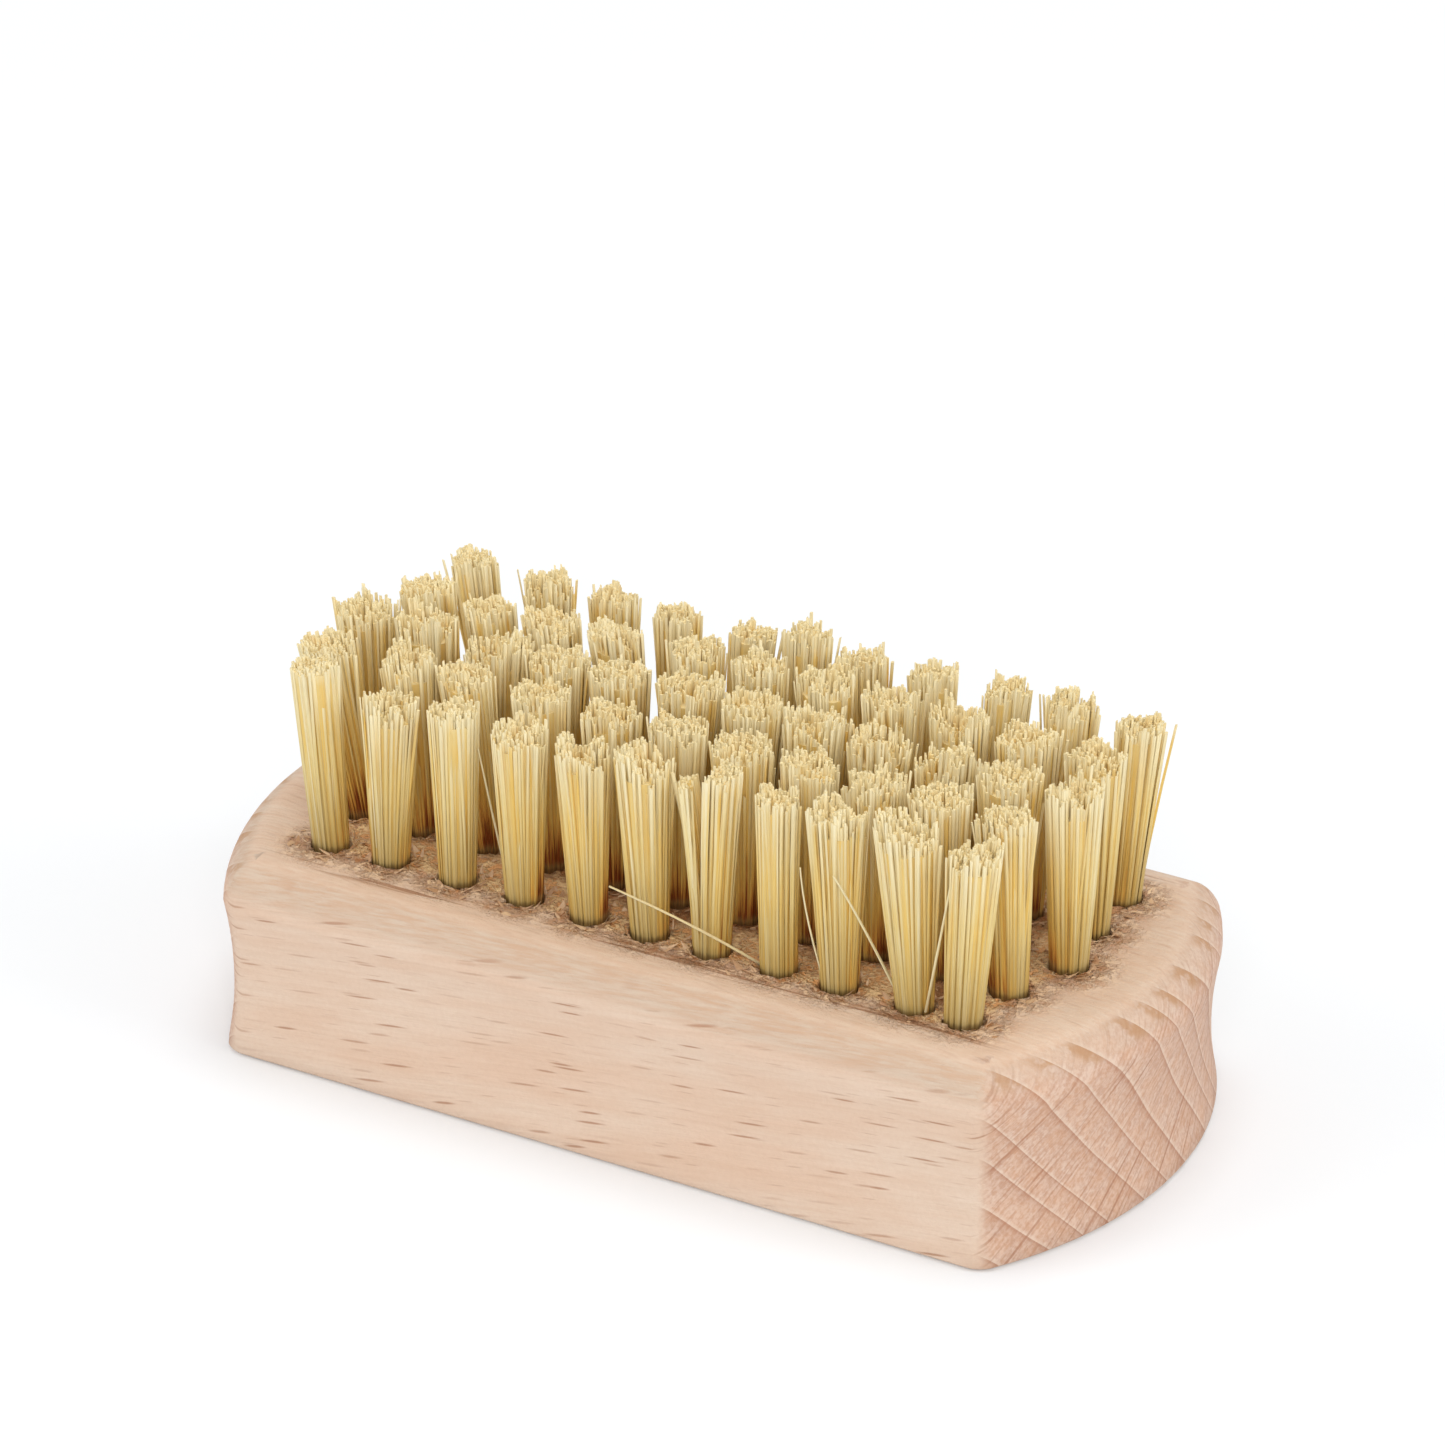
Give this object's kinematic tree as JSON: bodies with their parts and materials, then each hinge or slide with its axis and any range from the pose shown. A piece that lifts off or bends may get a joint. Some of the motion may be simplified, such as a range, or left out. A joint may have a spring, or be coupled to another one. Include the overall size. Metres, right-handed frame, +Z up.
{
  "type": "nail brush",
  "caption": "Wooden nail brush: rounded-end block with a finger cove, and rows of stiff plant-fibre tufts set in blind drilled holes.",
  "frame": {"origin": "centre of the underside, on the surface that the block stands on", "axes": "+X along the block, +Y across it, +Z up through the bristles"},
  "size_m": [0.095, 0.046, 0.039],
  "materials": {
    "beech": "raw sanded beech, unvarnished",
    "bristle": "stiff straw-yellow plant fibre, dry and matt",
    "anchor_wire": "flat drawn steel wire"
  },
  "bodies": {
    "root": {"block": "beech", "anchors": "anchor_wire", "tuft_r1_01": "bristle", "tuft_r1_02": "bristle", "tuft_r1_03": "bristle", "tuft_r1_04": "bristle", "tuft_r1_05": "bristle", "tuft_r1_06": "bristle", "tuft_r1_07": "bristle", "tuft_r1_08": "bristle", "tuft_r1_09": "bristle", "tuft_r1_10": "bristle", "tuft_r1_11": "bristle", "tuft_r2_01": "bristle", "tuft_r2_02": "bristle", "tuft_r2_03": "bristle", "tuft_r2_04": "bristle", "tuft_r2_05": "bristle", "tuft_r2_06": "bristle", "tuft_r2_07": "bristle", "tuft_r2_08": "bristle", "tuft_r2_09": "bristle", "tuft_r2_10": "bristle", "tuft_r2_11": "bristle", "tuft_r3_01": "bristle", "tuft_r3_02": "bristle", "tuft_r3_03": "bristle", "tuft_r3_04": "bristle", "tuft_r3_05": "bristle", "tuft_r3_06": "bristle", "tuft_r3_07": "bristle", "tuft_r3_08": "bristle", "tuft_r3_09": "bristle", "tuft_r3_10": "bristle", "tuft_r3_11": "bristle", "tuft_r3_12": "bristle", "tuft_r4_01": "bristle", "tuft_r4_02": "bristle", "tuft_r4_03": "bristle", "tuft_r4_04": "bristle", "tuft_r4_05": "bristle", "tuft_r4_06": "bristle", "tuft_r4_07": "bristle", "tuft_r4_08": "bristle", "tuft_r4_09": "bristle", "tuft_r4_10": "bristle", "tuft_r4_11": "bristle", "tuft_r5_01": "bristle", "tuft_r5_02": "bristle", "tuft_r5_03": "bristle", "tuft_r5_04": "bristle", "tuft_r5_05": "bristle", "tuft_r5_06": "bristle", "tuft_r5_07": "bristle", "tuft_r5_08": "bristle", "tuft_r5_09": "bristle", "tuft_r5_10": "bristle", "tuft_r5_11": "bristle"}
  },
  "joints": []
}
